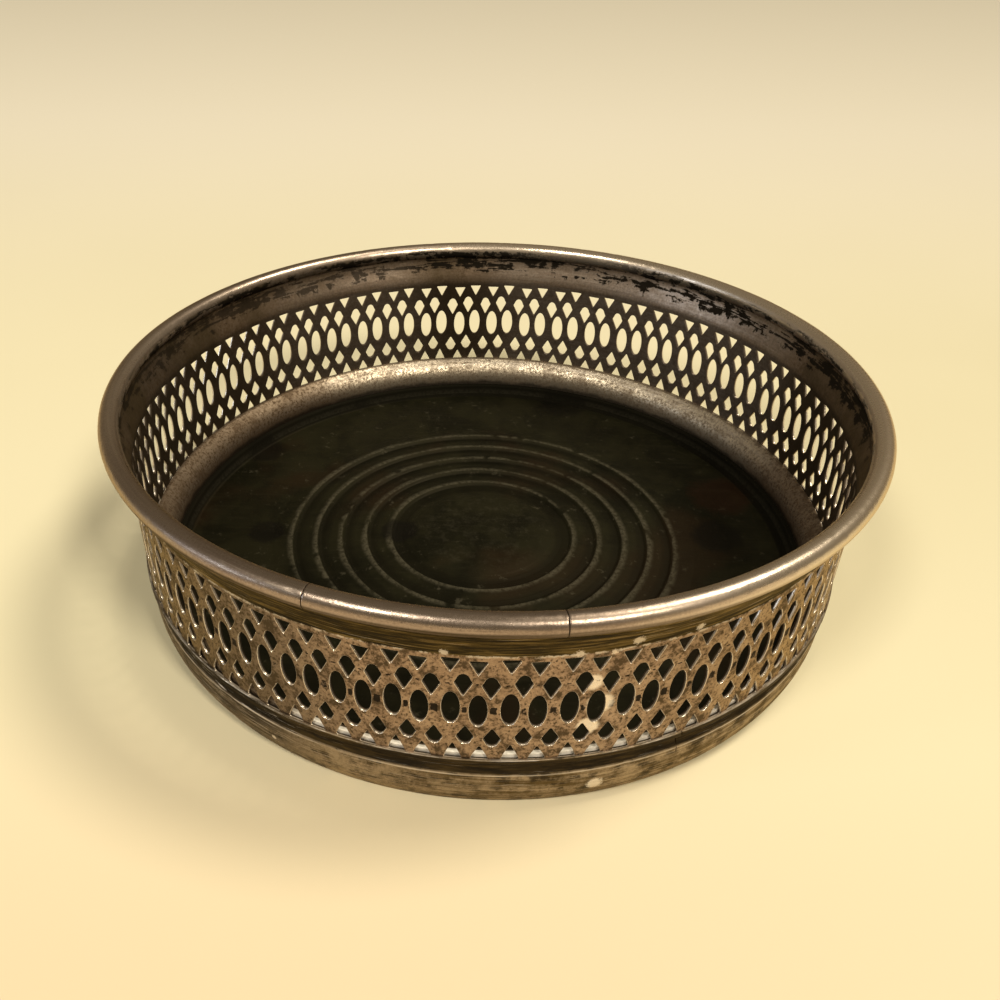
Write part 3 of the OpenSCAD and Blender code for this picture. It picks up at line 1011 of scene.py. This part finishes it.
def foot_paint():
    p = Paint("foot_plate_metal")
    speck = p.cloud(2.0, 6, 0.7)
    patch = p.cloud(0.30, 6, 0.66)
    streak = p.streaks((5, 1.1), 6, 0.66, 0.4)
    fine = p.streaks((12, 3.2, 6), 5, 0.7, 0.5)
    scratch = p.streaks((7, 5.0, 9), 5, 0.72, 0.5)
    cove = p.band(p.z, 8.80, 12.75, 0.16)
    grey_side = p.sector(-128, 20, 18)
    left_side = p.sector(-158, 32, 18)
    mottle = p.step(p.blend(streak, speck, 0.4), 0.38, 0.62)
    low = p.step(p.wavy(p.z, streak, 2.4), 3.4, 1.2)
    band_brown = p.less(p.step(p.blend(streak, patch, 0.45), 0.40, 0.58, 0.45, 0.95),
                        p.times(grey_side, p.step(streak, 0.44, 0.58), 0.85))
    brown = p.most(band_brown, cove, p.times(low, 0.5))
    black = p.most(p.times(cove, p.step(p.blend(streak, fine, 0.4), 0.36, 0.58, 0.35, 0.95)),
                   p.times(p.step(p.blend(fine, patch, 0.5), 0.51, 0.58), 0.75),
                   p.times(p.step(speck, 0.62, 0.71), 0.6),
                   p.times(left_side, p.step(p.blend(fine, streak, 0.5), 0.44, 0.54), 0.8))
    worn_edge = p.times(p.band(p.z, 8.36, 8.62, 0.08), p.step(streak, 0.36, 0.56), 0.6)
    lip_edge = p.times(p.step(p.z, 12.60, 12.76), p.step(streak, 0.42, 0.60), 0.5)
    hair = p.most(p.times(p.step(scratch, 0.58, 0.68), p.less(0.4, p.times(cove, 0.6))),
                  p.times(left_side, p.step(scratch, 0.56, 0.64), 0.7))
    chip = p.times(p.spots(on_radius(FOOT_R + 1.4, FOOT_CHIP), 0.55, 0.8),
                   p.step(fine, 0.36, 0.46, 0.3, 1.0))
    small_chip = p.spots(on_radius(FOOT_R + 1.6, FOOT_SMALL_CHIP), 0.4)
    rub_and_highlight = p.most(worn_edge, lip_edge, hair, p.times(p.most(chip, small_chip), 0.85))
    grain = p.bump(p.blend(scratch, speck, 0.4), 0.05, 0.6)
    normal = p.bump(p.blend(patch, streak, 0.5), 0.3, 0.6, grain)
    return plated(p, shades(p, FOOT_PLATE, (FOOT_LEFT, left_side)), mottle, brown, black, rub_and_highlight,
                  normal, (0.34, 0.55), tarnish_and_shade=p.mix(FOOT_BROWN, BROWN, left_side))


def ring_paint():
    """Rough, pitted plate. Along its outer edge at the front, bright soldering painted near white
    as the pool of light that falls through the bottom triangles; painted light on the lit side,
    painted shade away from it and toward the bottom edge.
    """
    p = Paint("ring_plate_metal")
    speck = p.cloud(1.5, 6, 0.72)
    grit = p.cloud(3.6, 4, 0.7)
    patch = p.cloud(0.22, 6, 0.62)
    streak = p.streaks((7, 1.2), 5, 0.6)
    mottle = p.step(p.blend(speck, patch, 0.4), 0.36, 0.60)
    wobble = p.wavy(p.z, patch, 2.4)
    # Painted shade: browner and then black toward the bottom edge, where the ring curves under
    # toward the wood
    lower_edge_shade = p.step(wobble, 11.2, 8.0)
    # Painted light: near-white soldering on the outer edge, only at the front, painted as the pool
    # of light that falls through the bottom triangles
    lit_solder_pad = p.times(p.sector(-78, 34, 8),
                     p.step(p.r, ring_high[1] - 0.95, ring_high[1] - 0.75))
    # Painted light on the lit side: brighter plate and less brown; dim is painted shade away from
    # it, laid on with the brown
    lit_side = p.sector(74, 42, 20)
    dim = p.math("SUBTRACT", 0.55, p.times(lit_side, 0.55))
    brown = p.most(p.times(lower_edge_shade, 0.85), p.times(p.step(patch, 0.46, 0.62), 0.75), dim,
                   p.times(p.step(speck, 0.47, 0.57), 0.9))
    brown = p.less(brown, p.times(lit_side, 0.35))
    # Its first part is painted shade: black at the ring's toe, where it curves under
    black = p.most(p.times(p.step(wobble, 8.4, 7.2), 0.85), p.times(p.step(grit, 0.60, 0.70), 0.7),
                   p.times(p.step(speck, 0.62, 0.70), 0.6))
    ribs = p.streaks((150, 0.4), 2, 0.5)
    # Brighter crest, only on the lit side: wear, and painted highlight
    crest = p.times(p.band(p.z, 11.4, 12.9, 0.4), p.step(streak, 0.40, 0.60), lit_side, 0.4)
    grain = p.bump(p.blend(speck, grit, 0.5), 0.10, 0.75)
    normal = p.bump(p.blend(patch, ribs, lit_solder_pad), 0.3, 0.6, grain)
    off_lit_pad = p.rest(p.times(lit_solder_pad, 0.92))
    return plated(p, shades(p, RING_PLATE, (RING_LIT, lit_side)), mottle, p.times(brown, off_lit_pad),
                  p.times(black, off_lit_pad), p.most(crest, lit_solder_pad), normal, (0.34, 0.56),
                  tarnish_and_shade=RING_BROWN, fresh_and_highlight_colour=p.mix(FRESH_AND_HIGHLIGHT, LIT_SOLDER_WHITE, lit_solder_pad), metal=p.rest(lit_solder_pad))


def wood_paint():
    """Ebonised wood, handled and waxed: near black, browner and duller in patches."""
    p = Paint("ebonised_wood")
    radius = p.length(p.math("SUBTRACT", p.x, TURNING_OFFSET), p.y)
    speck = p.cloud(1.4, 6, 0.7)
    patch = p.cloud(0.09, 6, 0.62, 0.4)
    broad = p.cloud(0.035, 3, 0.5)
    grain = p.noise(p.vector(p.times(p.x, 0.10), p.times(p.y, 1.1), p.z), 1, 5, 0.62)
    rings = p.noise(p.vector(p.times(radius, 2.6), p.math("DIVIDE", p.x, 60),
                             p.math("DIVIDE", p.y, 60)), 1, 3, 0.6)
    tint = p.mix((0.004, 0.0043, 0.0022), (0.010, 0.0098, 0.0045), p.step(patch, 0.36, 0.64))
    tint = p.mix(tint, (0.014, 0.0075, 0.0035), p.times(p.step(broad, 0.52, 0.66), 0.6))
    tint = p.mix(tint, (0.015, 0.014, 0.008), p.times(p.step(grain, 0.52, 0.68), 0.35))
    crest = p.times(p.step(p.z, FLOOR_Z + 0.42, FLOOR_Z + 0.60), p.step(p.z, 6.2, 5.4),
                    p.step(radius, 17.5, 18.5), p.step(speck, 0.36, 0.60, 0.25, 1.0))
    boss = p.times(p.step(radius, 16.5, 12.0), p.step(p.cloud(0.5, 6, 0.72), 0.46, 0.70), 0.16)
    rim = p.step(radius, 65.0, 65.6)
    margin = p.times(p.step(p.z, 6.45, 6.7), 0.15)
    scuff = p.times(p.step(p.cloud(0.35, 6, 0.72), 0.60, 0.70), 0.5)
    worn = p.most(p.times(crest, 0.85), boss, margin, scuff)
    # Painted shade: darker at floor level between the ridges
    valley_shade = p.times(p.step(p.z, FLOOR_Z + 0.30, FLOOR_Z + 0.06), p.band(radius, 15.5, 44.0, 1.0))
    tint = p.mix(tint, (0.002, 0.002, 0.001), p.times(valley_shade, 0.55))
    tint = p.mix(tint, (0.085, 0.078, 0.056), p.times(worn, 0.7))
    blots = p.spots([((x, y, FLOOR_Z), size) for x, y, size in WOOD_BLOTS], 0.35)
    tint = p.mix(tint, (0.002, 0.002, 0.002), p.times(blots, 0.75))
    reddish = p.spot((*WOOD_RED[:2], FLOOR_Z), WOOD_RED[2], 0.4)
    tint = p.mix(tint, (0.030, 0.010, 0.005), p.times(reddish, 0.32))
    # Painted shade: near black at the wood's outer edge, in the gap under the retaining ring
    tint = p.mix(tint, (0.002, 0.002, 0.0015), p.times(rim, 0.8))
    roughness = p.blend(p.blend(p.step(patch, 0.3, 0.7, 0.46, 0.62), 0.7, worn), 0.9, rim)
    turned = p.bump(rings, 0.05, 0.5)
    normal = p.bump(p.blend(grain, speck, 0.5), 0.09, 0.55, turned)
    return p.finish(tint, 0.0, roughness, normal, Specular_IOR_Level=0.13,
                    Specular_Tint=(1.0, 0.88, 0.62, 1))


def baize_paint():
    p = Paint("green_baize")
    fibre = p.cloud(3.5, 6, 0.75, 0.8)
    clump = p.cloud(0.5, 5, 0.6)
    wear = p.cloud(0.05, 4, 0.6)
    tint = p.mix((0.020, 0.060, 0.034), (0.045, 0.115, 0.060), p.step(fibre, 0.35, 0.65))
    tint = p.mix(tint, (0.085, 0.105, 0.060), p.times(p.step(wear, 0.48, 0.66), 0.55))
    tint = p.mix(tint, (0.018, 0.040, 0.026), p.times(p.step(clump, 0.55, 0.7), 0.5))
    normal = p.bump(p.blend(fibre, clump, 0.4), 0.35, 0.9)
    return p.finish(tint, 0.0, 0.95, normal, Sheen_Weight=0.35, Sheen_Roughness=0.5)


# ---- floor, light and camera

FLOOR_HALF = 4000.0
ROOM_COLOUR, ROOM_STRENGTH = (1.0, 0.81, 0.52, 1), 0.21
# Kind, name, place in metres, size, power, colour
LAMPS = (("AREA", "front_right", (0.82, -1.12, 1.44), 0.32, 18.5, (1.0, 0.88, 0.68)),
         ("AREA", "front_left", (-0.72, -1.00, 1.54), 0.40, 13.0, (1.0, 0.90, 0.72)),
         ("AREA", "left_window", (-1.84, -0.64, 0.52), 0.40, 4.0, (0.86, 0.93, 1.0)),
         ("SUN", "right_high", (0.50, 0.16, 0.90), 0.30, 1.6, (1.0, 0.88, 0.66)))
LAMP_AIM = (0, 0, 0.02)
CAMERA_PLACE = (0.0, -0.17219, 0.13039)     # metres
CAMERA_TILT = 90 - 35.844
CAMERA_TURN = 3.896
CAMERA_LENS, CAMERA_SENSOR = 34.06, 36
CAMERA_SHIFT = (0.0679, 0.026)


def build_floor():
    p = Paint("pale_table")
    broad = p.cloud(0.004, 3, 0.5)
    tint = p.mix((0.81, 0.77, 0.565), (0.84, 0.80, 0.60), p.step(broad, 0.35, 0.65))
    # Painted light: the table lighter toward the back
    tint = p.mix(tint, (0.93, 0.90, 0.80), p.step(p.y, 60.0, 420.0))
    # Painted shade: the table darker and more orange toward the front
    tint = p.mix(tint, (0.81, 0.69, 0.50), p.step(p.y, -30.0, -120.0))
    normal = p.bump(p.cloud(0.4, 3, 0.5), 0.02, 0.3)
    material = p.finish(tint, 0.0, 0.35, normal, Specular_IOR_Level=0.3)
    corners = [(x * FLOOR_HALF, y * FLOOR_HALF, 0)
               for x, y in ((-1, -1), (1, -1), (1, 1), (-1, 1))]
    floor = new_piece("table_top", corners, [(0, 1, 2, 3)], material)


def lamp(kind, name, place, size, power, colour):
    """A lamp aimed at the coaster; size is metres for an area and radians for a sun."""
    data = bpy.data.lights.new(name, kind)
    if kind == "SUN":
        data.angle = size
    else:
        data.size = size
    data.energy = power
    data.color = colour
    light = added(name, data)
    light.location = place
    aim = Vector(LAMP_AIM) - light.location
    light.rotation_euler = aim.to_track_quat("-Z", "Y").to_euler()


def build_light():
    world = bpy.data.worlds.new("room")
    world.use_nodes = True
    background = world.node_tree.nodes["Background"]
    background.inputs["Color"].default_value = ROOM_COLOUR
    background.inputs["Strength"].default_value = ROOM_STRENGTH
    bpy.context.scene.world = world
    for values in LAMPS:
        lamp(*values)


def build_camera():
    data = bpy.data.cameras.new("camera")
    data.lens, data.sensor_width = CAMERA_LENS, CAMERA_SENSOR
    data.shift_x, data.shift_y = CAMERA_SHIFT
    data.clip_start, data.clip_end = 0.01, 50
    camera = added("camera", data)
    camera.location = CAMERA_PLACE
    camera.rotation_euler = (math.radians(CAMERA_TILT), 0, math.radians(CAMERA_TURN))
    bpy.context.scene.camera = camera


build_gallery(gallery_paint())
build_beads(bead_paint())
build_foot(foot_paint())
build_ring(ring_paint())
build_base(wood_paint())
build_baize(baize_paint())
build_floor()
build_light()
build_camera()
bpy.context.scene.view_settings.view_transform = "Standard"

bpy.context.view_layer.update()
